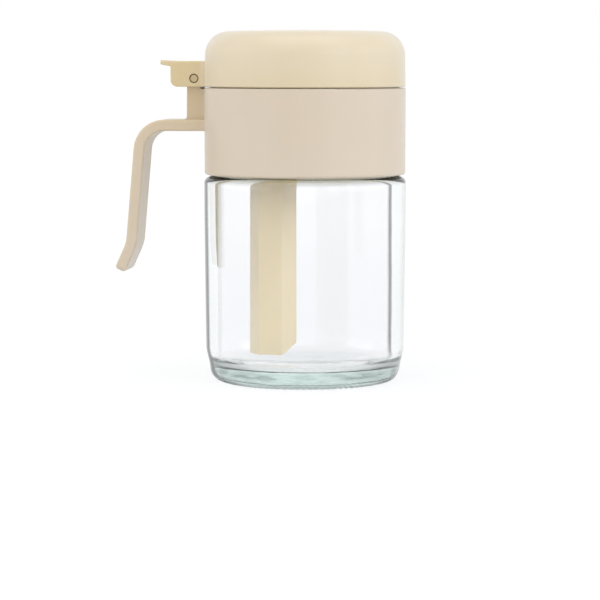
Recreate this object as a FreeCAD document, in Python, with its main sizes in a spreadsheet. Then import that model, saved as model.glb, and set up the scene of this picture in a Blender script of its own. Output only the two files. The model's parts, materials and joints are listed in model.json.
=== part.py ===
"""A round glass seasoning jar with a moulded collar, strap handle, flip lid on a hinge pin and trough spoon.

The origin is on the jar's axis in the plane that it stands on, +Z is up and the handle is at -X. Millimetres.
"""
import FreeCAD, Part
import math
import os
import re
import Sketcher

# name, value, meaning; every other size and place is worked out from these
SIZES = [
    ("panel_radius", 36.8, "glass: radius of the plain wall"),
    ("bumper_swell", 0.7, "glass: how far the band under the collar stands out"),
    ("bumper_height", 4.2, "glass: height of that band below the shoulder"),
    ("bumper_slope", 4.0, "glass: height of the slope below the band"),
    ("bumper_blend", 8.0, "glass: rounding of that slope's two ends"),
    ("glass_wall", 4.4, "glass: wall"),
    ("jar_height", 95.0, "glass: height of the rim"),
    ("neck_height", 18.8, "glass: height of the neck above the shoulder"),
    ("neck_step", 2.4, "glass: how far the neck stands back from the wall"),
    ("shoulder_round", 2.6, "glass: rounding of the shoulder"),
    ("shoulder_rise", 3.0, "glass: height of the inner shoulder above the outer one"),
    ("shoulder_fall", 1.0, "glass: depth of the inner shoulder below the outer one"),
    ("inner_round", 4.0, "glass: rounding of the inner shoulder and the floor"),
    ("rim_round", 1.0, "glass: rounding of the rim's two edges"),
    ("heel_taper", 2.2, "glass: how far the heel draws in"),
    ("heel_height", 11.5, "glass: height of the heel"),
    ("heel_blend", 13.8, "glass: rounding from the wall into the heel"),
    ("heel_round", 4.6, "glass: rounding from the heel into the foot"),
    ("floor_thickness", 6.6, "glass: floor"),
    ("foot_band", 10.8, "glass: distance from the outside of the wall to the inside of the standing ring"),
    ("foot_slope", 1.5, "glass: width of the slope inside the standing ring"),
    ("foot_lift", 1.0, "glass: height of the underside within the standing ring"),
    ("foot_round", 0.8, "glass: rounding of the standing ring's inner slope"),
    ("punt_radius", 12.5, "glass: radius of the hollow in the middle of the underside"),
    ("punt_depth", 3.2, "glass: height of that hollow"),
    ("punt_round", 0.6, "glass: rounding of that hollow's slope"),
    ("root_share", 0.75, "share of a wall's thickness that a piece moulded onto it reaches into it"),
    ("collar_overhang", 0.5, "collar: how far it stands out from the glass wall"),
    ("collar_wall", 2.1, "collar: wall"),
    ("skirt_gap", 0.6, "collar: height of its lower edge above the shoulder"),
    ("skirt_round", 1.0, "collar: rounding of its lower edge"),
    ("collar_rise", 11.6, "collar: height above its deck"),
    ("collar_edge", 0.4, "collar: rounding of its upper edges"),
    ("deck_thickness", 2.2, "collar: deck"),
    ("deck_round", 0.6, "collar: rounding from the deck into the wall"),
    ("mouth_ledge", 1.5, "collar: width of the deck in front of the mouth"),
    ("mouth_bridge", 6.2, "collar: width of the deck between the trough and the mouth"),
    ("mouth_round", 2.0, "collar: rounding of the mouth's rear corners"),
    ("mouth_fullness", 0.95, "collar: share of the mouth's depth that its front corners round off"),
    ("seam_gap", 0.4, "lid: gap above the collar"),
    ("lid_inset", 0.1, "lid: how far it stands back from the collar"),
    ("lid_height", 20.8, "lid: height"),
    ("lid_wall", 2.0, "lid: wall"),
    ("lid_round", 9.0, "lid: rounding of the top edge"),
    ("lid_draft", 0.25, "lid: how far the side leans in"),
    ("lid_edge", 0.4, "lid: rounding of its lower edge"),
    ("crown_drop", 0.6, "lid: how far the top falls from its middle to its edge"),
    ("crown_radius", 17.0, "lid: radius of the level middle of the top"),
    ("crown_round", 36.0, "lid: rounding from that middle into the slope"),
    ("plug_depth", 2.5, "lid: depth of the centring plug below the seam"),
    ("plug_wall", 1.6, "lid: wall of the centring plug"),
    ("plug_gap", 0.4, "lid: gap between the plug and the collar"),
    ("plug_height", 6.0, "lid: height of the thickened wall above the seam"),
    ("plug_blend", 1.0, "lid: rounding of the thickened wall's slope"),
    ("plug_round", 0.6, "lid: rounding of the plug's lower outer edge"),
    ("plug_inner_round", 0.4, "lid: rounding of the plug's lower inner edge"),
    ("pin_radius", 1.65, "hinge: pin"),
    ("pin_seat", 0.02, "hinge: radial clearance of the pin in the knuckle"),
    ("pin_play", 0.08, "hinge: radial clearance of the pin in the cheeks"),
    ("pin_inset", 0.2, "hinge: depth of the pin's ends in the cheeks"),
    ("pin_chamfer", 0.3, "hinge: chamfer of the pin's ends"),
    ("pin_rise", 3.5, "hinge: height of the pin above the collar"),
    ("knuckle_radius", 3.0, "hinge: knuckle"),
    ("knuckle_gap", 0.35, "hinge: gap round the knuckle"),
    ("post_setback", 1.95, "hinge: distance from the pin to the front of the post under the knuckle"),
    ("cheek_thickness", 2.6, "lever: cheek"),
    ("cheek_gap", 0.3, "lever: gap between a cheek and the knuckle"),
    ("lever_reach", 8.8, "lever: reach of the cheeks beyond the pin"),
    ("lever_round", 2.6, "lever: rounding of the cheeks' lower corner"),
    ("lever_top_round", 5.2, "lever: rounding from its top into the thumb pad"),
    ("lever_soft", 0.5, "lever: rounding of its outer edges"),
    ("plate_lift", 4.5, "lever: height of the plate's underside above the pin"),
    ("plate_thickness", 1.9, "lever: plate"),
    ("thumb_reach", 13.1, "lever: reach of the thumb pad beyond the pin"),
    ("thumb_lift", 0.4, "lever: how far the top of the thumb pad turns up"),
    ("thumb_taper", 0.6, "lever: how far its underside turns up"),
    ("thumb_fillet", 0.6, "lever: rounding between the thumb pad and the cheeks"),
    ("thumb_round", 3.5, "lever: rounding of the thumb pad's corners"),
    ("strap_width", 17.0, "handle: width, the same as the lever's"),
    ("strap_thickness", 4.2, "handle: thickness"),
    ("strap_round", 0.9, "handle: rounding of the strap's edges"),
    ("strap_drop", 13.85, "handle: depth of its top run below the collar's top"),
    ("strap_reach", 23.1, "handle: reach of the top run from the collar"),
    ("strap_bend", 9.6, "handle: radius of the top bend"),
    ("kink_reach", 26.9, "handle: reach of the kink"),
    ("kink_drop", 57.8, "handle: depth of the kink below the collar's top"),
    ("kink_bend", 14.0, "handle: radius of the kink"),
    ("tip_reach", 31.4, "handle: reach of the tip"),
    ("tip_drop", 67.9, "handle: depth of the tip below the collar's top"),
    ("tip_round", 1.4, "handle: rounding of the tip"),
    ("post_reach", 6.2, "handle: reach of the hinge post at its foot"),
    ("post_round", 1.2, "handle: rounding between the post and the strap"),
    ("trough_share", 0.42, "spoon: place of its middle, as a share of the neck's inner radius"),
    ("trough_face", 9.0, "spoon: width of the middle face"),
    ("trough_depth", 7.6, "spoon: depth of the trough"),
    ("trough_spread", 4.4, "spoon: how far each side flares"),
    ("trough_wall", 1.5, "spoon: wall"),
    ("trough_round", 0.7, "spoon: rounding of the outer corners"),
    ("trough_inner_round", 0.5, "spoon: rounding of the inner corners"),
    ("tip_clearance", 3.5, "spoon: height of its tip above the floor"),
    ("tip_cut", 3.6, "spoon: height of the slanted corner of its tip"),
    ("slot_gap", 0.3, "spoon: gap in the deck's slot"),
    ("slot_inner_round", 0.2, "spoon: rounding of the slot's inner corners"),
    ("flange_margin", 2.0, "spoon: how far the flange stands out"),
    ("flange_thickness", 1.6, "spoon: flange"),
    ("flange_round", 1.5, "spoon: rounding of the flange's corners"),
    ("grip_width", 12.0, "spoon: width of the grip"),
    ("grip_height", 14.0, "spoon: height of the grip"),
    ("grip_thickness", 2.6, "spoon: thickness of the grip"),
    ("grip_round", 5.0, "spoon: rounding of the grip's top corners"),
]

# places that follow from the sizes; a later one may use an earlier one
PLACES = {
    "glass_inner": "panel_radius - glass_wall",
    "foot_inner": "panel_radius - foot_band",
    "bumper_radius": "panel_radius + bumper_swell",
    "neck_radius": "panel_radius - neck_step",
    "mouth_radius": "neck_radius - glass_wall",
    "shoulder_level": "jar_height - neck_height",
    "collar_radius": "panel_radius + collar_overhang",
    "collar_inner": "collar_radius - collar_wall",
    "collar_foot": "shoulder_level + skirt_gap",
    "deck_top": "jar_height + deck_thickness",
    "collar_top": "deck_top + collar_rise",
    "collar_root": "-(collar_radius - root_share * collar_wall)",
    "lid_foot": "collar_top + seam_gap",
    "lid_top": "lid_foot + lid_height",
    "lid_radius": "collar_radius - lid_inset",
    "lid_inner": "lid_radius - lid_wall",
    "lid_root": "-(lid_radius - root_share * lid_wall)",
    "plug_radius": "collar_inner - plug_gap",
    "plug_inner": "plug_radius - plug_wall",
    "pin_place": "-(collar_radius + knuckle_radius)",
    "pin_level": "collar_top + pin_rise",
    "cheek_space": "strap_width - 2 * cheek_thickness",
    "knuckle_width": "cheek_space - 2 * cheek_gap",
    "plate_foot": "pin_level + plate_lift",
    "plate_top": "plate_foot + plate_thickness",
    "lever_end": "pin_place - lever_reach",
    "thumb_end": "pin_place - thumb_reach",
    "strap_level": "collar_top - strap_drop",
    "strap_top": "strap_level + strap_thickness / 2",
    "post_front": "pin_place + post_setback",
    "post_top": "collar_top - collar_edge",
    "post_back": "pin_place - knuckle_radius",
    "post_face": "-(collar_radius + post_reach)",
    "post_lean": "(post_back - post_face) / (pin_level - strap_level)",
    "post_foot": "post_face + post_lean * strap_thickness / 2",
    "trough_offset": "trough_share * mouth_radius",
    "trough_back": "-trough_depth / 2",
    "mouth_back": "trough_face / 2 + trough_spread + mouth_bridge - trough_offset",
    "mouth_front": "mouth_radius - mouth_ledge",
    "mouth_bow": "mouth_fullness * (mouth_front - mouth_back - mouth_round)",
    "trough_slant": "sqrt(trough_spread ^ 2 + trough_depth ^ 2) / trough_depth",
    "tip_level": "floor_thickness + tip_clearance",
    "grip_top": "deck_top + flange_thickness + grip_height",
}

OVERRUN = "1"  # how far a cut runs past what it cuts
MARGIN = 1e-3  # how near an edge lies to the place that names it, and the least that a cut takes away

document = FreeCAD.newDocument("seasoning_jar")
sheet = document.addObject("Spreadsheet::Sheet", "Sizes")
for row, (name, number, meaning) in enumerate(SIZES, start=1):
    sheet.set(f"A{row}", name)
    sheet.set(f"B{row}", str(number))
    sheet.setAlias(f"B{row}", name)
    sheet.set(f"C{row}", meaning)
document.recompute()
SIZE_NAMES = re.compile(r"\b(" + "|".join(name for name, _, _ in SIZES) + r")\b")


def terms(text):
    """The expression with its places written out and its sizes taken from the sheet."""
    for place, meaning in reversed(PLACES.items()):
        text = re.sub(rf"\b{place}\b", f"({meaning})", text)
    return SIZE_NAMES.sub(r"Sizes.\1", text)


def value(text):
    """What the expression comes to now."""
    return float(sheet.evalExpression(terms(text)))


def new_body(name):
    body = document.addObject("PartDesign::Body", name)
    body.Label = name
    return body


def new_sketch(body, name, plane, raised="0"):
    """A sketch on one of the body's own origin planes, raised along that plane's normal."""
    sketch = body.newObject("Sketcher::SketchObject", name)
    origin_plane = next(item for item in body.Origin.OriginFeatures if item.Role == plane)
    sketch.AttachmentSupport = (origin_plane, [""])
    sketch.MapMode = "FlatFace"
    sketch.setExpression("AttachmentOffset.Base.z", terms(raised))
    return sketch


def tie(sketch, kind, *place, text):
    """A dimension whose value is the expression."""
    index = sketch.addConstraint(Sketcher.Constraint(kind, *place, value(text)))
    sketch.setExpression(f"Constraints[{index}]", terms(text))


def tie_point(sketch, geometry, end, across, up):
    """Fixes a point of the sketch at a place measured from its origin."""
    tie(sketch, "DistanceX", -1, 1, geometry, end, text=across)
    tie(sketch, "DistanceY", -1, 1, geometry, end, text=up)


def draw_circle(sketch, across, up, radius):
    centre = FreeCAD.Vector(value(across), value(up), 0)
    circle = sketch.addGeometry(Part.Circle(centre, FreeCAD.Vector(0, 0, 1), value(radius)), False)
    tie_point(sketch, circle, 3, across, up)
    tie(sketch, "Radius", circle, text=radius)


def rounding_arc(corner, before, after, radius):
    """The arc that rounds a corner, and which of its ends (1 or 2) the run arrives at and leaves from."""
    half = before.getAngle(after) / 2
    to_centre = (before + after).normalize() * (radius / math.sin(half))
    centre = corner + to_centre
    arrives = corner + before * (radius / math.tan(half)) - centre
    leaves = corner + after * (radius / math.tan(half)) - centre
    turns_left = before.cross(after).z < 0
    first, last = (arrives, leaves) if turns_left else (leaves, arrives)
    start = math.atan2(first.y, first.x)
    stop = math.atan2(last.y, last.x)
    if stop < start:
        stop += 2 * math.pi
    circle = Part.Circle(centre, FreeCAD.Vector(0, 0, 1), radius)
    arc = Part.ArcOfCircle(circle, start, stop)
    return (arc, 1, 2) if turns_left else (arc, 2, 1)


def draw_run(sketch, corners, closed=True):
    """Straight runs from corner to corner, each (across, up) or (across, up, rounding) in expressions."""
    count = len(corners)
    points = [FreeCAD.Vector(value(corner[0]), value(corner[1]), 0) for corner in corners]
    radii = [value(corner[2]) if len(corner) > 2 else 0 for corner in corners]
    to_next = [(points[(i + 1) % count] - points[i]).normalize() for i in range(count)]

    def trim(i):
        """How much of each run the rounding at corner i takes away."""
        if not radii[i]:
            return 0
        return radii[i] / math.tan((to_next[i - 1] * -1).getAngle(to_next[i]) / 2)

    lines = []
    for i in range(count if closed else count - 1):
        start = points[i] + to_next[i] * trim(i)
        stop = points[(i + 1) % count] - to_next[i] * trim((i + 1) % count)
        lines.append(sketch.addGeometry(Part.LineSegment(start, stop), False))
    for i, corner in enumerate(corners):
        if not closed and i == 0:
            tie_point(sketch, lines[0], 1, corner[0], corner[1])
        elif not closed and i == count - 1:
            tie_point(sketch, lines[-1], 2, corner[0], corner[1])
        elif not radii[i]:
            sketch.addConstraint(Sketcher.Constraint("Coincident", lines[i - 1], 2, lines[i], 1))
            tie_point(sketch, lines[i], 1, corner[0], corner[1])
        else:
            arc, arrives, leaves = rounding_arc(points[i], to_next[i - 1] * -1, to_next[i], radii[i])
            bend = sketch.addGeometry(arc, False)
            mark = sketch.addGeometry(Part.Point(points[i]), True)
            sketch.addConstraint(Sketcher.Constraint("Tangent", lines[i - 1], 2, bend, arrives))
            sketch.addConstraint(Sketcher.Constraint("Tangent", bend, leaves, lines[i], 1))
            sketch.addConstraint(Sketcher.Constraint("PointOnObject", mark, 1, lines[i - 1]))
            sketch.addConstraint(Sketcher.Constraint("PointOnObject", mark, 1, lines[i]))
            tie(sketch, "Radius", bend, text=corner[2])
            tie_point(sketch, mark, 1, corner[0], corner[1])


def revolve(body, name, corners):
    """A turned piece: the closed section in the XZ plane goes once round the jar's axis."""
    sketch = new_sketch(body, name + "_section", "XZ_Plane")
    draw_run(sketch, corners)
    turned = body.newObject("PartDesign::Revolution", name)
    turned.Profile = sketch
    turned.ReferenceAxis = (sketch, ["V_Axis"])
    turned.Angle = 360
    return turned


def across(body, kind, name, draw, width):
    """A pad or pocket that is drawn in the XZ plane and runs the same way to both sides of it."""
    sketch = new_sketch(body, name + "_outline", "XZ_Plane")
    draw(sketch)
    feature = body.newObject("PartDesign::" + kind, name)
    feature.Profile = sketch
    feature.SideType = "Symmetric"
    feature.setExpression("Length", terms(width))
    return feature


def upright(body, kind, name, corners, level, height):
    """A pad that rises from a level, or a pocket that sinks from it."""
    sketch = new_sketch(body, name + "_outline", "XY_Plane", raised=level)
    draw_run(sketch, corners)
    feature = body.newObject("PartDesign::" + kind, name)
    feature.Profile = sketch
    feature.setExpression("Length", terms(height))
    return feature


def dress(body, kind, name, size_name, size, chosen):
    """A fillet or chamfer on those edges of the body so far that the test chooses."""
    document.recompute()
    base = body.Tip
    edges = [f"Edge{i}" for i, edge in enumerate(base.Shape.Edges, start=1) if chosen(edge)]
    if not edges:
        raise RuntimeError(f"{name} finds no edge")
    feature = body.newObject("PartDesign::" + kind, name)
    feature.Base = (base, edges)
    feature.setExpression(size_name, terms(size))
    return feature


def near(first, second):
    return abs(first - second) < MARGIN


def make_glass_jar():
    """The turned glass: a thick floor with a punt, a drawn-in heel, a bumper band, a shoulder and a neck."""
    body = new_body("glass_jar")
    underside = [
        ("0", "punt_depth"),
        ("punt_radius - foot_slope", "punt_depth", "punt_round"),
        ("punt_radius", "foot_lift", "punt_round"),
        ("foot_inner - foot_slope", "foot_lift", "foot_round"),
        ("foot_inner", "0", "foot_round"),
    ]
    outside = [
        ("panel_radius - heel_taper", "0", "heel_round"),
        ("panel_radius", "heel_height", "heel_blend"),
        ("panel_radius", "shoulder_level - bumper_height - bumper_slope", "bumper_blend"),
        ("bumper_radius", "shoulder_level - bumper_height", "bumper_blend"),
        ("bumper_radius", "shoulder_level", "shoulder_round"),
        ("neck_radius", "shoulder_level", "rim_round"),
        ("neck_radius", "jar_height", "rim_round"),
    ]
    inside = [
        ("mouth_radius", "jar_height", "rim_round"),
        ("mouth_radius", "shoulder_level + shoulder_rise", "inner_round"),
        ("glass_inner", "shoulder_level - shoulder_fall", "inner_round"),
        ("glass_inner", "floor_thickness", "inner_round"),
        ("0", "floor_thickness"),
    ]
    revolve(body, "glass_wall_and_floor", underside + outside + inside)
    return body


def trough_edge(lift, outward):
    """How far the trough's flared side lies from its middle, at a height over its back face."""
    return f"trough_face / 2 + ({lift}) * trough_spread / trough_depth + ({outward}) * trough_slant"


def trough_corners(grow, corner_round, inner_round):
    """The half-hexagon trough in plan, open towards +Y, its walls thickened by grow on every side."""
    outer_back = f"-({grow})"
    outer_rim = f"trough_depth + {grow}"
    inner_back = f"trough_wall + {grow}"
    outer_edge = trough_edge(outer_back, grow)
    outer_lip = trough_edge(outer_rim, grow)
    inner_edge = trough_edge(inner_back, f"-trough_wall - {grow}")
    inner_lip = trough_edge(outer_rim, f"-trough_wall - {grow}")
    half = [
        (outer_edge, outer_back, corner_round),
        (outer_lip, outer_rim),
        (inner_lip, outer_rim),
        (inner_edge, inner_back, inner_round),
    ]
    right = [(f"-trough_offset + {u}", f"trough_back + {v}", *rest) for u, v, *rest in half]
    left = [(f"-trough_offset - ({u})", f"trough_back + {v}", *rest) for u, v, *rest in reversed(half)]
    return right + left


def make_collar():
    """The collar with its deck, the hinge post and the open strap handle, moulded in one."""
    body = new_body("collar")
    revolve(body, "skirt_and_deck", [
        ("0", "jar_height"),
        ("collar_inner", "jar_height"),
        ("collar_inner", "collar_foot"),
        ("collar_radius", "collar_foot", "skirt_round"),
        ("collar_radius", "collar_top", "collar_edge"),
        ("collar_inner", "collar_top", "collar_edge"),
        ("collar_inner", "deck_top", "deck_round"),
        ("0", "deck_top"),
    ])
    add_strap(body)
    across(body, "Pad", "hinge_post", lambda sketch: draw_run(sketch, [
        ("collar_root", "strap_level"),
        ("collar_root", "post_top"),
        ("post_front", "post_top"),
        ("post_front", "pin_level"),
        ("post_back", "pin_level"),
        ("post_face", "strap_level"),
    ]), "knuckle_width")
    across(body, "Pad", "knuckle", lambda sketch: draw_circle(
        sketch, "pin_place", "pin_level", "knuckle_radius"), "knuckle_width")
    across(body, "Pocket", "pin_seat_bore", lambda sketch: draw_circle(
        sketch, "pin_place", "pin_level", "pin_radius + pin_seat"), "knuckle_width + 2 * " + OVERRUN)
    upright(body, "Pocket", "mouth", [
        ("mouth_back", "-mouth_bow - mouth_round", "mouth_round"),
        ("mouth_front", "-mouth_bow - mouth_round", "mouth_bow"),
        ("mouth_front", "mouth_bow + mouth_round", "mouth_bow"),
        ("mouth_back", "mouth_bow + mouth_round", "mouth_round"),
    ], "deck_top + " + OVERRUN, "deck_thickness + 2 * " + OVERRUN)
    upright(body, "Pocket", "spoon_slot", trough_corners("slot_gap", "trough_round", "slot_inner_round"),
            "deck_top + " + OVERRUN, "deck_thickness + 2 * " + OVERRUN)
    post_foot = value("post_foot")
    strap_top = value("strap_top")
    dress(body, "Fillet", "post_root", "Radius", "post_round", lambda edge: (
        near(edge.CenterOfMass.x, post_foot)
        and near(edge.CenterOfMass.z, strap_top)
        and near(edge.CenterOfMass.y, 0)))
    return body


def add_strap(body):
    """The handle: a rounded band swept along the collar's top run, the grip and the flared tip."""
    path = new_sketch(body, "strap_path", "XZ_Plane")
    draw_run(path, [
        ("collar_root", "strap_level"),
        ("-(collar_radius + strap_reach)", "strap_level", "strap_bend"),
        ("-(collar_radius + kink_reach)", "collar_top - kink_drop", "kink_bend"),
        ("-(collar_radius + tip_reach)", "collar_top - tip_drop"),
    ], closed=False)
    band = new_sketch(body, "strap_section", "YZ_Plane", raised="collar_root")
    draw_run(band, [
        ("-strap_width / 2", "strap_level - strap_thickness / 2", "strap_round"),
        ("strap_width / 2", "strap_level - strap_thickness / 2", "strap_round"),
        ("strap_width / 2", "strap_top", "strap_round"),
        ("-strap_width / 2", "strap_top", "strap_round"),
    ])
    strap = body.newObject("PartDesign::AdditivePipe", "strap")
    strap.Profile = band
    strap.Spine = (path, [])
    tip = FreeCAD.Vector(value("-(collar_radius + tip_reach)"), 0, value("collar_top - tip_drop"))
    kink = FreeCAD.Vector(value("-(collar_radius + kink_reach)"), 0, value("collar_top - kink_drop"))
    along = (tip - kink).normalize()
    dress(body, "Fillet", "strap_tip", "Radius", "tip_round", lambda edge: all(
        near((vertex.Point - tip).dot(along), 0) for vertex in edge.Vertexes))


def make_lid():
    """The cap with its centring plug, and behind it the lever: two cheeks on the pin and a thumb plate."""
    body = new_body("lid")
    across(body, "Pad", "lever_block", lambda sketch: draw_run(sketch, [
        ("lid_root", "lid_foot"),
        ("lid_root", "plate_top"),
        ("lever_end", "plate_top", "lever_top_round"),
        ("thumb_end", "plate_top + thumb_lift"),
        ("thumb_end", "plate_foot + thumb_taper"),
        ("lever_end", "plate_foot", "thumb_fillet"),
        ("lever_end", "lid_foot", "lever_round"),
    ]), "strap_width")
    across(body, "Pocket", "lever_hollow", lambda sketch: draw_run(sketch, [
        ("lid_root + " + OVERRUN, "lid_foot - " + OVERRUN),
        ("lid_root + " + OVERRUN, "plate_foot"),
        ("lever_end - " + OVERRUN, "plate_foot"),
        ("lever_end - " + OVERRUN, "lid_foot - " + OVERRUN),
    ]), "cheek_space")
    thumb_end = value("thumb_end")
    side = value("strap_width / 2")
    dress(body, "Fillet", "thumb_corners", "Radius", "thumb_round", lambda edge: (
        near(edge.CenterOfMass.x, thumb_end) and near(abs(edge.CenterOfMass.y), side)))
    dress(body, "Fillet", "lever_edges", "Radius", "lever_soft", lambda edge: (
        near(edge.CenterOfMass.x, thumb_end) and near(edge.CenterOfMass.y, 0)))
    revolve(body, "cap", [
        ("0", "lid_top"),
        ("0", "lid_top - lid_wall"),
        ("lid_inner - lid_draft", "lid_top - crown_drop - lid_wall", "lid_round - lid_wall"),
        ("lid_inner", "lid_foot + plug_height + plug_wall", "plug_blend"),
        ("plug_inner", "lid_foot + plug_height", "plug_blend"),
        ("plug_inner", "lid_foot - plug_depth", "plug_inner_round"),
        ("plug_radius", "lid_foot - plug_depth", "plug_round"),
        ("plug_radius", "lid_foot"),
        ("lid_radius", "lid_foot", "lid_edge"),
        ("lid_radius - lid_draft", "lid_top - crown_drop", "lid_round"),
        ("crown_radius", "lid_top", "crown_round"),
    ])
    across(body, "Pocket", "knuckle_relief", lambda sketch: draw_circle(
        sketch, "pin_place", "pin_level", "knuckle_radius + knuckle_gap"), "cheek_space")
    across(body, "Pocket", "cheek_bores", lambda sketch: draw_circle(
        sketch, "pin_place", "pin_level", "pin_radius + pin_play"), "strap_width + 2 * " + OVERRUN)
    return body


def make_hinge_pin():
    """The pin, held in the knuckle and turning in the cheeks."""
    body = new_body("hinge_pin")
    across(body, "Pad", "pin", lambda sketch: draw_circle(
        sketch, "pin_place", "pin_level", "pin_radius"), "strap_width - 2 * pin_inset")
    dress(body, "Chamfer", "pin_ends", "Size", "pin_chamfer",
          lambda edge: edge.Curve.TypeId == "Part::GeomCircle")
    return body


def make_spoon():
    """The long trough spoon: it hangs in the deck's slot by a flange, with a grip above it."""
    body = new_body("spoon")
    upright(body, "Pad", "trough", trough_corners("0", "trough_round", "trough_inner_round"),
            "tip_level", "deck_top - tip_level")
    corner = "-trough_offset + trough_face / 2"
    past = "-trough_offset + trough_face / 2 + trough_spread + " + OVERRUN
    across(body, "Pocket", "slanted_corner", lambda sketch: draw_run(sketch, [
        (corner, "tip_level - " + OVERRUN),
        (past, "tip_level - " + OVERRUN),
        (past, "tip_level + tip_cut * (trough_spread + " + OVERRUN + ") / trough_spread"),
        (corner, "tip_level"),
    ]), "trough_depth + 2 * " + OVERRUN)
    flange_back = "trough_back - flange_margin"
    flange_front = "trough_back + trough_depth + flange_margin"
    back_edge = trough_edge("-flange_margin", "flange_margin")
    front_edge = trough_edge("trough_depth + flange_margin", "flange_margin")
    upright(body, "Pad", "flange", [
        (f"-trough_offset - ({back_edge})", flange_back, "flange_round"),
        (f"-trough_offset + {back_edge}", flange_back, "flange_round"),
        (f"-trough_offset + {front_edge}", flange_front, "flange_round"),
        (f"-trough_offset - ({front_edge})", flange_front, "flange_round"),
    ], "deck_top", "flange_thickness")
    grip_foot = "deck_top + flange_thickness / 2"
    across(body, "Pad", "grip", lambda sketch: draw_run(sketch, [
        ("-trough_offset - grip_width / 2", grip_foot),
        ("-trough_offset + grip_width / 2", grip_foot),
        ("-trough_offset + grip_width / 2", "grip_top", "grip_round"),
        ("-trough_offset - grip_width / 2", "grip_top", "grip_round"),
    ]), "grip_thickness")
    return body


def check(bodies):
    """Stops if any object has failed or any body is not one valid solid."""
    for item in document.Objects:
        if "Invalid" in item.State or "Error" in item.State:
            raise RuntimeError(f"{item.Name} has failed: {item.State}")
        if item.TypeId == "Sketcher::SketchObject" and not item.FullyConstrained:
            raise RuntimeError(f"{item.Name} is not fully constrained")
    for body in bodies:
        shape = body.Shape
        if shape.isNull() or not shape.isValid() or len(shape.Solids) != 1:
            raise RuntimeError(f"{body.Label} is not one valid solid")


def check_cuts():
    """Stops if a pocket has taken nothing away."""
    for item in document.Objects:
        if item.TypeId == "PartDesign::Pocket" and item.Shape.Volume > item.BaseFeature.Shape.Volume - MARGIN:
            raise RuntimeError(f"{item.Name} cuts nothing")


bodies = [make_glass_jar(), make_collar(), make_lid(), make_hinge_pin(), make_spoon()]
document.recompute()
check(bodies)
check_cuts()
os.makedirs("parts", exist_ok=True)
for body in bodies:
    body.Shape.exportStep(f"parts/{body.Label}.step")
    box = body.Shape.BoundBox
    print(f"{body.Label}: {body.Shape.Volume:.1f} mm3, x {box.XMin:.2f} to {box.XMax:.2f}, "
          f"y {box.YMin:.2f} to {box.YMax:.2f}, z {box.ZMin:.2f} to {box.ZMax:.2f}")
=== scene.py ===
"""The looks of the seasoning jar: clear pressed glass, cream plastic, a white studio and the camera.

The glass's section and its marks are in millimetres. All that Blender gets is in metres, and so are the
heights, radii and other places that the materials read.
"""
import json
import math
from types import SimpleNamespace

import bpy
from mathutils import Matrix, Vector, noise


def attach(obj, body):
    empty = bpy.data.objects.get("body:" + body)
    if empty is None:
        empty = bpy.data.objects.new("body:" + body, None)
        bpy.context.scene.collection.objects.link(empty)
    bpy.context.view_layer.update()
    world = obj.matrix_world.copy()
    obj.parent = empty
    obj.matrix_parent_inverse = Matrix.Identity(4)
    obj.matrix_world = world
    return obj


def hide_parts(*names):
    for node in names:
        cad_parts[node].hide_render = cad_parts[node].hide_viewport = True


MM = 0.001
WHITE = (1.0, 1.0, 1.0, 1.0)

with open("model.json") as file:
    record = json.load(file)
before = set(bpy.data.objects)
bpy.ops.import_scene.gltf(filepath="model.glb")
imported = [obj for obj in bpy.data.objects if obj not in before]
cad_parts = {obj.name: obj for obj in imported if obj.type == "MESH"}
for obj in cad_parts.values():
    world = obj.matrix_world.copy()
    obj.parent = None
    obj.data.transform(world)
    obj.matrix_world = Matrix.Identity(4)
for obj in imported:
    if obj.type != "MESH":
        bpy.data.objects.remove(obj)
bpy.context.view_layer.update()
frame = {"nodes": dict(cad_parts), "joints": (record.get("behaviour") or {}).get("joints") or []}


# ---------------------------------------------------------------- node trees


def linear(red, green, blue):
    """A colour given in 8-bit sRGB, as Blender's linear RGBA."""
    def channel(value):
        share = value / 255
        return share / 12.92 if share <= 0.04045 else ((share + 0.055) / 1.055) ** 2.4
    return (channel(red), channel(green), channel(blue), 1.0)


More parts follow.
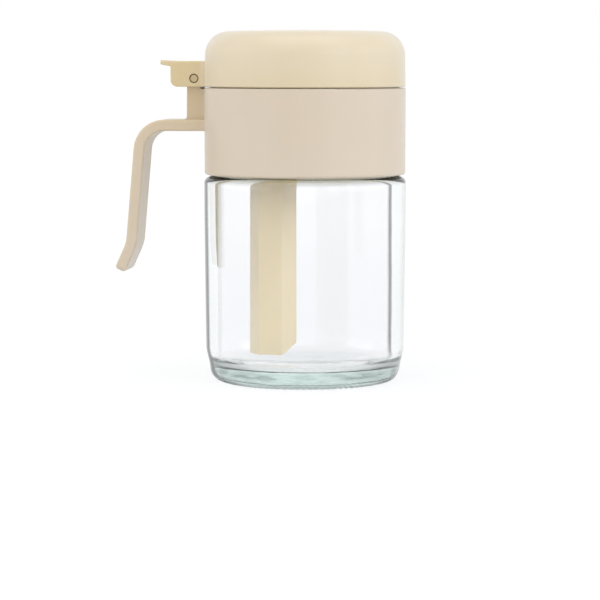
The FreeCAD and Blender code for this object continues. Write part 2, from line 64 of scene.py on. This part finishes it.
class Tree:
    """A material's or the world's node tree, emptied, with short ways to add to it."""

    def __init__(self, owner):
        owner.use_nodes = True
        self.tree = owner.node_tree
        self.tree.nodes.clear()

    def add(self, kind, settings=None, **inputs):
        """A node. An input is a value or another node's output, and is named with _ for a space."""
        made = self.tree.nodes.new(kind)
        for name, value in (settings or {}).items():
            setattr(made, name, value)
        for name, value in inputs.items():
            self.feed(self.enabled(made.inputs, name.replace("_", " ")), value)
        return made

    def add_numbered(self, kind, values, settings=None):
        """A node whose inputs share a name, and so are given in their order."""
        made = self.add(kind, settings)
        for socket, value in zip(made.inputs, values):
            self.feed(socket, value)
        return made

    def feed(self, socket, value):
        if isinstance(value, bpy.types.NodeSocket):
            self.tree.links.new(value, socket)
        else:
            socket.default_value = value

    @staticmethod
    def enabled(sockets, name):
        return next(socket for socket in sockets if socket.name == name and socket.enabled)

    def place(self):
        """Where a point is in the object's own coordinates, which are the frame's."""
        return self.add("ShaderNodeTexCoord").outputs["Object"]

    def axis(self, place, name):
        return self.add("ShaderNodeSeparateXYZ", Vector=place).outputs[name]

    def math(self, operation, *values, clamp=False):
        settings = {"operation": operation, "use_clamp": clamp}
        return self.add_numbered("ShaderNodeMath", values, settings).outputs[0]

    def product(self, first, *others):
        for other in others:
            first = self.math("MULTIPLY", first, other)
        return first

    def opposite(self, share):
        return self.math("SUBTRACT", 1.0, share)

    def length(self, across, along):
        """The length of the vector with these two parts."""
        squares = [self.math("POWER", part, 2.0) for part in (across, along)]
        return self.math("SQRT", self.math("ADD", *squares))

    def noise(self, place, scale, detail=2.0, stretch=None):
        if stretch is not None:
            place = self.add("ShaderNodeMapping", Vector=place, Scale=stretch).outputs[0]
        return self.add("ShaderNodeTexNoise", Vector=place, Scale=scale, Detail=detail).outputs[0]

    def span(self, value, limits, to_low, to_high):
        """The value, carried from the range between its limits to another range and held inside it."""
        low, high = limits
        return self.add("ShaderNodeMapRange", {"clamp": True}, Value=value, From_Min=low, From_Max=high,
                        To_Min=to_low, To_Max=to_high).outputs[0]

    def above(self, value, limits):
        """0 below the limits, and 1 above them."""
        return self.span(value, limits, 0.0, 1.0)

    def below(self, value, limits):
        """1 below the limits, and 0 above them."""
        return self.span(value, limits, 1.0, 0.0)

    def mix_values(self, share, first, second):
        return self.add("ShaderNodeMix", Factor=share, A=first, B=second).outputs[0]

    def mix_colours(self, share, first, second):
        made = self.add("ShaderNodeMix", {"data_type": "RGBA"}, Factor=share, A=first, B=second)
        return self.enabled(made.outputs, "Result")

    def mix_shaders(self, share, first, second):
        return self.add_numbered("ShaderNodeMixShader", (share, first, second)).outputs[0]

    def bump(self, height, strength, distance, **under):
        """The normal of a bump. Normal= gives the one that it lies on."""
        made = self.add("ShaderNodeBump", Height=height, Strength=strength, Distance=distance, **under)
        return made.outputs[0]


# ------------------------------------------------------------------ plastics

LID_CREAM = linear(232, 217, 189)
LID_DEEP = linear(222, 202, 157)
COLLAR_CREAM = linear(223, 208, 188)
COLLAR_DEEP = linear(214, 194, 156)
# the spoon's cream is lighter than the lid's: painted light, for the light the collar and glass keep off
# it
SPOON_CREAM = linear(239, 221, 183)
SPOON_DEEP = linear(222, 199, 154)
PIN_CREAM = linear(214, 194, 152)
PIN_DARK = linear(120, 98, 62)

# parts of a noise's values: nearly all of them, those round the middle, and the few highest
MOST = (0.3, 0.7)
MIDDLE = (0.35, 0.65)
HIGHEST = (0.66, 0.78)
# how fine each noise is, and how much of the deeper tone it brings
CLOUD_SCALE = 34.0
CLOUD_SHARE = 0.22
STREAK_SCALE = 90.0
STREAK_STRETCH = (1.0, 1.0, 0.25)
STREAK_SHARE = 0.08
SPECK_SCALE = 2600.0
SPECK_SHARE = 0.10
GLOSS_SCALE = 420.0
# the bumps: how fine, how strong and how high
GRAIN_SCALE = 3200.0
GRAIN_STRENGTH = 0.10
GRAIN_HEIGHT = 0.00004
SWELL_SCALE = 55.0
SWELL_STRENGTH = 0.25
SWELL_HEIGHT = 0.0001
PLASTIC_IOR = 1.49
PLASTIC_DEPTHS = (0.0030, 0.0020, 0.0012)
SHEEN_ROUGHNESS = 0.35

# the deeper tones, all painted shade but the lever's: where each begins and ends, and its shares there
LEVER_ROOT = (-0.0385, -0.0368)
LEVER_SHARE = 0.75
# painted shade: the lid darkens towards its lower edge, where less light falls
LID_LOWER_EDGE = (0.1092, 0.120)
LID_EDGE_SHADE_SHARE = 0.35
# painted shade on the handle, and more on the hinge post under the lever
POST_ROOT = (-0.0380, -0.0368)
POST_RISE = (0.086, 0.104)
POST_SHADE_SHARES = (0.15, 0.65)
# painted shade in the gap round the pin
PIN_RIM = (0.00115, 0.00145)
PIN_RIM_SHADE_SHARE = 0.9


def plastic(name, colour, deep, deep_share=None, rough=(0.32, 0.44), soft=0.12, sheen=0.4):
    """Satin moulded polypropylene: faint clouding, fine grain, and light that goes a little way in.

    deep_share gives from the tree and the object's coordinates how much of the deeper tone shows. On the
    lid's lower edge, the handle, the hinge post and the pin's rim, that deeper tone is painted shade.
    """
    material = bpy.data.materials.new(name)
    tree = Tree(material)
    place = tree.place()
    clouds = tree.noise(place, CLOUD_SCALE, detail=3.0)
    streaks = tree.noise(place, STREAK_SCALE, stretch=STREAK_STRETCH)
    share = tree.math("ADD", tree.span(clouds, MOST, 0.0, CLOUD_SHARE),
                      tree.span(streaks, MIDDLE, 0.0, STREAK_SHARE))
    if deep_share is not None:
        share = tree.math("ADD", share, deep_share(tree, place), clamp=True)
    tone = tree.mix_colours(share, colour, deep)
    specks = tree.noise(place, SPECK_SCALE, detail=1.0)
    tone = tree.mix_colours(tree.span(specks, HIGHEST, 0.0, SPECK_SHARE), tone, deep)
    gloss = tree.span(tree.noise(place, GLOSS_SCALE, detail=3.0), MOST, *rough)
    grain = tree.bump(tree.noise(place, GRAIN_SCALE), GRAIN_STRENGTH, GRAIN_HEIGHT)
    swell = tree.noise(place, SWELL_SCALE, detail=1.0)
    surface = tree.bump(swell, SWELL_STRENGTH, SWELL_HEIGHT, Normal=grain)
    shader = tree.add("ShaderNodeBsdfPrincipled", Base_Color=tone, Roughness=gloss, Normal=surface,
                      IOR=PLASTIC_IOR, Subsurface_Weight=soft, Subsurface_Radius=PLASTIC_DEPTHS,
                      Subsurface_Scale=1.0, Sheen_Weight=sheen, Sheen_Roughness=SHEEN_ROUGHNESS)
    tree.add("ShaderNodeOutputMaterial", Surface=shader.outputs[0])
    return material


def lever_tone_and_edge_shade(tree, place):
    """The lever is deeper in tone than the lid, and painted shade darkens the lid towards its lower
    edge.
    """
    lever = tree.span(tree.axis(place, "X"), LEVER_ROOT, LEVER_SHARE, 0.0)
    edge_shade = tree.span(tree.axis(place, "Z"), LID_LOWER_EDGE, LID_EDGE_SHADE_SHARE, 0.0)
    return tree.math("MAXIMUM", lever, edge_shade)


def post_shade(tree, place):
    """Painted shade: the handle a little darker than the collar, the hinge post under the lever more so.
    """
    beside = tree.below(tree.axis(place, "X"), POST_ROOT)
    return tree.product(beside, tree.span(tree.axis(place, "Z"), POST_RISE, *POST_SHADE_SHARES))


def pin_rim_shade(tree, place):
    """The pin's rim is painted darker where it meets the cheek: painted shade in the gap between them.
    """
    pin_x, _, pin_z = frame["joints"][0]["pos_m"]
    radius = tree.length(tree.math("SUBTRACT", tree.axis(place, "X"), pin_x),
                         tree.math("SUBTRACT", tree.axis(place, "Z"), pin_z))
    return tree.span(radius, PIN_RIM, 0.0, PIN_RIM_SHADE_SHARE)


def paint(node, material):
    frame["nodes"][node].material_slots[0].material = material


# --------------------------------------------------------------- glass, shape

# the turned section of the glass: radius, height, rounding
GLASS_SECTION = [
    (0.0, 3.2, 0.0),
    (11.0, 3.2, 0.6),
    (12.5, 1.0, 0.6),
    (24.5, 1.0, 0.8),
    (26.0, 0.0, 0.8),
    (34.6, 0.0, 5.2),
    (36.95, 11.5, 13.8),
    (37.48, 62.0, 30.0),
    (37.48, 76.2, 2.6),
    (34.4, 76.2, 1.0),
    (34.4, 94.98, 1.0),
    (30.0, 94.98, 1.0),
    (30.0, 79.2, 4.0),
    (32.4, 75.2, 4.0),
    (32.4, 6.6, 5.0),
    (0.0, 6.6, 0.0),
]
ARC_STEP = math.radians(7.5)
LONGEST_RUN = 4.0
SIDES = 432

# the grip marks pressed round the foot: where they end, how far they lean round for each millimetre
# outwards, as a share of their pitch, the heights over which they turn inwards, and how worn they are
KNURLS = 84
KNURL_DEPTH = 0.45
KNURL_INNER_END = (27.2, 28.4)
KNURL_UPPER_END = (1.0, 2.4)
KNURL_LEAN = 0.35 / 4.0
KNURL_LEAN_FROM = 30.0
KNURL_SLANT = (0.0, 4.6)
WORN_BUSY = 2.3
WORN_SEED = 3.1
WORN_RANGE = (-0.15, 0.20)
WORN_LEAST = 0.3
# the heavy base's unevenness: where it is, how fast it changes round the glass, and over what height
LUMP_DEPTH = 0.35
LUMP_START = (0.8, 3.0)
LUMP_END = (8.0, 13.0)
LUMP_BUSY = 5.5
LUMP_HEIGHT = 3.2
# the walls' unevenness, likewise
OUTER_WAVER = 0.05
INNER_WAVER = 0.10
WAVER_START = (7.0, 14.0)
WAVER_END = (64.0, 70.0)
WAVER_BUSY = 1.6
WAVER_HEIGHT = 34.0
INNER_SEED = 5.0


def section_points(corners):
    """The section as points: straight runs cut to a longest length, and arcs in equal steps."""
    points = []

    def run_to(target):
        if points:
            start = points[-1]
            pieces = max(1, math.ceil((target - start).length / LONGEST_RUN))
            for step in range(1, pieces):
                points.append(start.lerp(target, step / pieces))
        points.append(target)

    for i, (across, up, rounding) in enumerate(corners):
        corner = Vector((across, up))
        if not rounding:
            run_to(corner)
            continue
        before = (Vector(corners[i - 1][:2]) - corner).normalized()
        after = (Vector(corners[i + 1][:2]) - corner).normalized()
        half = before.angle(after) / 2
        centre = corner + (before + after).normalized() * (rounding / math.sin(half))
        first = corner + before * (rounding / math.tan(half))
        last = corner + after * (rounding / math.tan(half))
        turn = math.pi - 2 * half
        steps = max(2, math.ceil(turn / ARC_STEP), math.ceil(turn * rounding / LONGEST_RUN))
        run_to(first)
        for step in range(1, steps):
            angle = turn * step / steps
            from_first = math.sin(turn - angle) / math.sin(turn)
            from_last = math.sin(angle) / math.sin(turn)
            points.append(centre + (first - centre) * from_first + (last - centre) * from_last)
        points.append(last)
    return points


def fade(value, limits):
    """0 below the limits and 1 above them, with a soft start and end between."""
    low, high = limits
    share = min(1.0, max(0.0, (value - low) / (high - low)))
    return share * share * (3 - 2 * share)


def noise_round(angle, busy, along):
    """Noise that closes on itself round the glass, and changes faster round it the busier it is."""
    return noise.noise(Vector((math.cos(angle) * busy, math.sin(angle) * busy, along)))


def knurl(radius, height, angle):
    """How deep the pressed grip marks on the foot are at a place, in millimetres."""
    ring = fade(radius, KNURL_INNER_END) * (1 - fade(height, KNURL_UPPER_END))
    lean = KNURL_LEAN * (radius - KNURL_LEAN_FROM)
    wave = 0.5 + 0.5 * math.cos(KNURLS * angle + lean * math.tau)
    worn = fade(noise_round(angle, WORN_BUSY, WORN_SEED), WORN_RANGE)
    return KNURL_DEPTH * ring * wave * (WORN_LEAST + (1 - WORN_LEAST) * worn)


def lump(height, angle):
    """The heavy base's soft unevenness, in millimetres."""
    zone = fade(height, LUMP_START) * (1 - fade(height, LUMP_END))
    return LUMP_DEPTH * zone * (0.5 + 0.5 * noise_round(angle, LUMP_BUSY, height / LUMP_HEIGHT))


def waver(height, angle, inner):
    """The faint unevenness of a pressed wall, in millimetres."""
    depth, seed = (INNER_WAVER, INNER_SEED) if inner else (OUTER_WAVER, 0.0)
    zone = fade(height, WAVER_START) * (1 - fade(height, WAVER_END))
    return depth * zone * (0.5 + 0.5 * noise_round(angle, WAVER_BUSY, height / WAVER_HEIGHT + seed))


def pressed(point, angle, inner):
    """A point of the section turned to an angle, moved by the marks and the unevenness there, in metres.

    The grip marks go upwards under the foot, and inwards where the heel stands up.
    """
    radius, height = point
    shift = waver(height, angle, inner)
    if not inner:
        mark = knurl(radius, height, angle)
        slant = fade(height, KNURL_SLANT)
        shift += lump(height, angle) + mark * slant
        height += mark * (1 - slant)
    radius -= shift
    return (radius * math.cos(angle) * MM, radius * math.sin(angle) * MM, height * MM)


def glass_mesh():
    points = section_points(GLASS_SECTION)
    top = max(range(len(points)), key=lambda i: points[i].y)
    vertices = [(0.0, 0.0, points[0].y * MM)]
    rings = []
    for i, point in enumerate(points[1:-1], start=1):
        rings.append(range(len(vertices), len(vertices) + SIDES))
        vertices += [pressed(point, math.tau * side / SIDES, i > top) for side in range(SIDES)]
    last = len(vertices)
    vertices.append((0.0, 0.0, points[-1].y * MM))
    faces = []
    for side in range(SIDES):
        following = (side + 1) % SIDES
        faces.append((0, rings[0][following], rings[0][side]))
        for low, high in zip(rings, rings[1:]):
            faces.append((low[side], low[following], high[following], high[side]))
        faces.append((last, rings[-1][side], rings[-1][following]))
    mesh = bpy.data.meshes.new("jar_glass")
    mesh.from_pydata(vertices, [], faces)
    mesh.shade_smooth()
    return mesh


# ------------------------------------------------------------ glass, material

# the colours at its surface, and the colour and density inside it
GLASS_CLEAR = (0.976, 0.966, 0.980, 1.0)
GLASS_BASE = (0.88, 0.885, 0.89, 1.0)
# painted shade over the punt: the shadowed floor under the jar, seen through the base
GLASS_PUNT_SHADE = (0.80, 0.80, 0.79, 1.0)
# darker streaks on the outside of the base, and painted shade at its sides
GLASS_STREAK_AND_SHADE = (0.22, 0.24, 0.24, 1.0)
# painted shade on the shoulder, under the collar
GLASS_SHADED = (0.36, 0.34, 0.26, 1.0)
# painted dark lines, for the dark that the walls refract where they are seen along themselves
GLASS_PAINTED_LINE = (0.004, 0.006, 0.006, 1.0)
GLASS_INSIDE = (0.60, 0.90, 0.82, 1.0)
GLASS_DENSITY = 9.0
GLASS_IOR = 1.5

# heights and radii where the tints change: the base, and its middle over the punt, which is painted
# shade
BASE_TOP = (0.0056, 0.0066)
MIDDLE_EDGE = (0.0118, 0.0126)
MIDDLE_TOP = (0.0066, 0.0070)
# the shoulder, where the collar's shade is painted
SHOULDER_START = (0.0736, 0.0756)
SHOULDER_END = (0.0785, 0.0800)
# the inner wall lies inside this radius, and its straight part above this height
INNER_WALL = (0.0335, 0.0345)
ABOVE_FLOOR = (0.0085, 0.0125)
# the darker band on the outside of the base, of streaks and painted shade: where it is, its share at the
# foot, its streaks, and how the painted shade grows where the glass turns away towards the sides
BAND_TOP = (0.0050, 0.0090)
BAND_FOOT = (0.0022, 0.0042)
BAND_FOOT_SHARE = 0.15
BAND_RADIUS = (0.0315, 0.0335)
MURK_SCALE = 140.0
MURK_STRETCH = (1.0, 1.0, 4.5)
MURK_STREAKS = (0.44, 0.64)
MURK_STREAK_SHARE = 0.50
SIDE_SHADE_FACING = (0.03, 0.26)
SIDE_SHADE_SHARE = 0.72
# the painted dark lines: how far away each wall has turned there, and their shares on the left and right
OUTER_LINE_FACING = (0.70, 0.76)
INNER_LINE_FACING = (0.66, 0.76)
LEFT_TO_RIGHT = (-0.020, 0.020)
OUTER_LINE_SHARES = (1.0, 0.2)
INNER_LINE_SHARES = (0.15, 1.0)
# the inner wall's second painted line, close to the critical angle
CRITICAL_START = (0.228, 0.243)
CRITICAL_END = (0.258, 0.266)
# the roughness: all over, in the inner bottom corner, and in the heel
HAZE_SCALE = 260.0
HAZE_NOISE = (0.4, 0.75)
HAZE = 0.03
CORNER_TOP = (0.0072, 0.0130)
CORNER_RADIUS = (0.0255, 0.0275)
CORNER_HAZE = 0.22
HEEL_TOP = (0.0045, 0.0065)
HEEL_RADIUS = (0.0270, 0.0290)
HEEL_HAZE = 0.16
# the surface's faint ripple
RIPPLE_SCALE = 70.0
RIPPLE_STRENGTH = 0.06
RIPPLE_HEIGHT = 0.0004


def read_glass(tree):
    """What the glass's material reads of a point: where it is, and how it is seen."""
    at = SimpleNamespace(place=tree.place())
    at.across = tree.axis(at.place, "X")
    at.height = tree.axis(at.place, "Z")
    at.radius = tree.length(at.across, tree.axis(at.place, "Y"))
    at.facing = tree.add("ShaderNodeLayerWeight", Blend=0.5).outputs["Facing"]
    at.behind = tree.add("ShaderNodeNewGeometry").outputs["Backfacing"]
    at.inner = tree.below(at.radius, INNER_WALL)
    at.above_floor = tree.above(at.height, ABOVE_FLOOR)
    return at


def streaks_and_side_shade(tree, at):
    """The base's outside has darker streaks, and painted shade that darkens it towards the sides."""
    streaks = tree.noise(at.place, MURK_SCALE, detail=3.0, stretch=MURK_STRETCH)
    streaks_and_shade = tree.math("ADD", tree.span(streaks, MURK_STREAKS, 0.0, MURK_STREAK_SHARE),
                     tree.span(at.facing, SIDE_SHADE_FACING, 0.0, SIDE_SHADE_SHARE), clamp=True)
    return tree.product(tree.below(at.height, BAND_TOP),
                        tree.span(at.height, BAND_FOOT, BAND_FOOT_SHARE, 1.0),
                        tree.above(at.radius, BAND_RADIUS), tree.opposite(at.behind), streaks_and_shade)


def painted_line_share(tree, at):
    """Painted dark lines where the walls are seen along themselves, for the dark that they refract
    there.

    The outer wall's is painted stronger on the left, and the inner wall's on the right, as the light
    falls.
    The inner wall has a second one beside it, close to the critical angle, where light inside the glass
    stops passing it.
    """
    outer_share = tree.span(at.across, LEFT_TO_RIGHT, *OUTER_LINE_SHARES)
    inner_share = tree.span(at.across, LEFT_TO_RIGHT, *INNER_LINE_SHARES)
    share = tree.mix_values(at.inner, outer_share, inner_share)
    line = tree.mix_values(at.inner, tree.above(at.facing, OUTER_LINE_FACING),
                           tree.above(at.facing, INNER_LINE_FACING))
    line = tree.product(line, share, tree.math("MAXIMUM", at.above_floor, tree.opposite(at.inner)))
    critical = tree.product(tree.above(at.facing, CRITICAL_START), tree.below(at.facing, CRITICAL_END))
    second = tree.product(at.inner, at.behind, critical, tree.product(inner_share, at.above_floor))
    return tree.math("MAXIMUM", line, second)


def glass_tone(tree, at):
    """Surface colour: base, clear wall, streaks, painted shade on base and shoulder, and painted dark
    lines.
    """
    tone = tree.mix_colours(tree.above(at.height, BASE_TOP), GLASS_BASE, GLASS_CLEAR)
    middle = tree.product(tree.below(at.radius, MIDDLE_EDGE), tree.below(at.height, MIDDLE_TOP))
    tone = tree.mix_colours(middle, tone, GLASS_PUNT_SHADE)
    tone = tree.mix_colours(streaks_and_side_shade(tree, at), tone, GLASS_STREAK_AND_SHADE)
    shoulder = tree.product(tree.above(at.height, SHOULDER_START), tree.below(at.height, SHOULDER_END))
    tone = tree.mix_colours(shoulder, tone, GLASS_SHADED)
    return tree.mix_colours(painted_line_share(tree, at), tone, GLASS_PAINTED_LINE)


def glass_haze(tree, at):
    """The roughness: next to none, and more in the inner corner and the heel, to soften their lines."""
    haze = tree.span(tree.noise(at.place, HAZE_SCALE, detail=3.0), HAZE_NOISE, 0.0, HAZE)
    corner = tree.product(at.inner, tree.below(at.height, CORNER_TOP),
                          tree.span(at.radius, CORNER_RADIUS, 0.0, CORNER_HAZE))
    heel = tree.product(tree.below(at.height, HEEL_TOP),
                        tree.span(at.radius, HEEL_RADIUS, 0.0, HEEL_HAZE))
    return tree.math("ADD", tree.math("ADD", haze, corner), heel)


def glass_material():
    """Soda-lime glass: clear, greener in the thick base, and painted darker where it is seen along its
    wall.

    Its surface lets lamp light through untouched, and doesn't tint the soft light that falls through it.
    """
    material = bpy.data.materials.new("clear_glass")
    tree = Tree(material)
    at = read_glass(tree)
    path = tree.add("ShaderNodeLightPath")
    tone = tree.mix_colours(path.outputs["Is Diffuse Ray"], glass_tone(tree, at), WHITE)
    ripple = tree.bump(tree.noise(at.place, RIPPLE_SCALE), RIPPLE_STRENGTH, RIPPLE_HEIGHT)
    glass = tree.add("ShaderNodeBsdfPrincipled", Base_Color=tone, Roughness=glass_haze(tree, at),
                     Normal=ripple, IOR=GLASS_IOR, Transmission_Weight=1.0)
    clear_way = tree.add("ShaderNodeBsdfTransparent", Color=WHITE)
    surface = tree.mix_shaders(path.outputs["Is Shadow Ray"], glass.outputs[0], clear_way.outputs[0])
    tint = tree.add("ShaderNodeVolumeAbsorption", Color=GLASS_INSIDE, Density=GLASS_DENSITY)
    tree.add("ShaderNodeOutputMaterial", Surface=surface, Volume=tint.outputs[0])
    return material


# -------------------------------------------------------------------- studio

# the sky's light on surfaces; it is seen as white
SKY_LIGHT = 0.60
FLOOR_HALF = 3.0
FLOOR_LEVEL = -0.0001
FLOOR_SCALE = 3.0
FLOOR_TONES = ((0.82, 0.82, 0.82, 1.0), (0.80, 0.80, 0.80, 1.0))
# the floor as it is seen: a dim diffuse that shows the shadow, and a glow that whitens away from the jar
FLOOR_SEEN = (0.31, 0.31, 0.31, 1.0)
GLOW_REACH = (0.25, 1.5)
GLOW_STRENGTHS = (0.735, 0.865)

PLAIN_WHITE = (1.0, 1.0, 1.0)
COOL_WHITE = (0.94, 0.99, 1.10)
# name, place, watts, width and height, colour, and the height on the axis at which it aims
LAMPS = [
    ("top_softbox", (0.0, -0.20, 1.00), 2.8, (0.9, 0.8), COOL_WHITE, 0.065),
    ("left_softbox", (-0.95, -0.40, 0.34), 2.6, (1.6, 0.6), PLAIN_WHITE, 0.065),
    ("right_softbox", (0.95, -0.35, 0.34), 3.6, (1.6, 0.6), COOL_WHITE, 0.065),
    ("front_fill", (0.30, -1.10, 0.22), 1.1, (1.4, 0.6), COOL_WHITE, 0.05),
]

# the camera's turn to the right of the front, its place, and the point that it looks at: its height,
# and how far it lies to the left of the axis
CAMERA_TURN = math.radians(7.0)
CAMERA_AWAY = 0.932
CAMERA_HEIGHT = 0.120
AIM_HEIGHT = 0.0298112
AIM_LEFT = 0.0018588
LENS = 150.42
SENSOR = 36.0
FARTHEST_SEEN = 20.0


def seen_as_background(tree):
    """1 for rays that show the background: the camera's own, and those by way of gloss or glass."""
    path = tree.add("ShaderNodeLightPath")
    seen = tree.math("MAXIMUM", path.outputs["Is Camera Ray"], path.outputs["Is Glossy Ray"])
    return tree.math("MAXIMUM", seen, path.outputs["Is Transmission Ray"])


def make_world():
    world = bpy.data.worlds.new("studio")
    bpy.context.scene.world = world
    tree = Tree(world)
    level = tree.span(seen_as_background(tree), (0.0, 1.0), SKY_LIGHT, 1.0)
    sky = tree.add("ShaderNodeBackground", Color=WHITE, Strength=level)
    tree.add("ShaderNodeOutputWorld", Surface=sky.outputs[0])


def floor_material():
    """A pale table for the light, which where it is seen keeps the shadow and is white elsewhere."""
    material = bpy.data.materials.new("white_table")
    tree = Tree(material)
    place = tree.place()
    tone = tree.mix_colours(tree.noise(place, FLOOR_SCALE), *FLOOR_TONES)
    plain = tree.add("ShaderNodeBsdfDiffuse", Color=tone)
    shaded = tree.add("ShaderNodeBsdfDiffuse", Color=FLOOR_SEEN)
    away = tree.add("ShaderNodeVectorMath", {"operation": "LENGTH"}, Vector=place).outputs["Value"]
    strength = tree.span(away, GLOW_REACH, *GLOW_STRENGTHS)
    glow = tree.add("ShaderNodeEmission", Color=WHITE, Strength=strength)
    lit = tree.add_numbered("ShaderNodeAddShader", (shaded.outputs[0], glow.outputs[0]))
    surface = tree.mix_shaders(seen_as_background(tree), plain.outputs[0], lit.outputs[0])
    tree.add("ShaderNodeOutputMaterial", Surface=surface)
    return material


def make_floor():
    half, low = FLOOR_HALF, FLOOR_LEVEL
    corners = [(-half, -half, low), (half, -half, low), (half, half, low), (-half, half, low)]
    mesh = bpy.data.meshes.new("floor")
    mesh.from_pydata(corners, [], [(0, 1, 2, 3)])
    mesh.materials.append(floor_material())
    floor = bpy.data.objects.new("floor", mesh)
    bpy.context.scene.collection.objects.link(floor)


def aim(thing, target):
    away = Vector(target) - thing.location
    thing.rotation_euler = away.to_track_quat("-Z", "Y").to_euler()


def make_lamp(name, place, watts, size, colour, aim_height):
    light = bpy.data.lights.new(name, "AREA")
    light.shape = "RECTANGLE"
    light.size, light.size_y = size
    light.energy = watts
    light.color = colour
    lamp = bpy.data.objects.new(name, light)
    bpy.context.scene.collection.objects.link(lamp)
    lamp.location = place
    aim(lamp, (0.0, 0.0, aim_height))
    lamp.visible_camera = False


def make_camera():
    """The photograph's view: a long lens a little to the right of the front, level with the lid."""
    data = bpy.data.cameras.new("camera")
    data.sensor_width = SENSOR
    data.lens = LENS
    data.clip_end = FARTHEST_SEEN
    camera = bpy.data.objects.new("camera", data)
    bpy.context.scene.collection.objects.link(camera)
    across, along = math.cos(CAMERA_TURN), math.sin(CAMERA_TURN)
    camera.location = (CAMERA_AWAY * along, -CAMERA_AWAY * across, CAMERA_HEIGHT)
    aim(camera, (-AIM_LEFT * across, -AIM_LEFT * along, AIM_HEIGHT))
    bpy.context.scene.camera = camera


# --------------------------------------------------------------------- build

paint("lid", plastic("lid_cream", LID_CREAM, LID_DEEP, lever_tone_and_edge_shade, sheen=0.6))
paint("collar", plastic("collar_cream", COLLAR_CREAM, COLLAR_DEEP, post_shade))
paint("spoon", plastic("spoon_cream", SPOON_CREAM, SPOON_DEEP, sheen=1.0))
paint("hinge_pin", plastic("pin_cream", PIN_CREAM, PIN_DARK, pin_rim_shade, rough=(0.40, 0.52), soft=0.0))

jar_glass = bpy.data.objects.new("jar_glass", glass_mesh())
bpy.context.scene.collection.objects.link(jar_glass)
jar_glass.data.materials.append(glass_material())
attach(jar_glass, "jar")
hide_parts("glass_jar")

make_world()
make_floor()
for lamp in LAMPS:
    make_lamp(*lamp)
make_camera()

bpy.context.scene.view_settings.view_transform = "Standard"
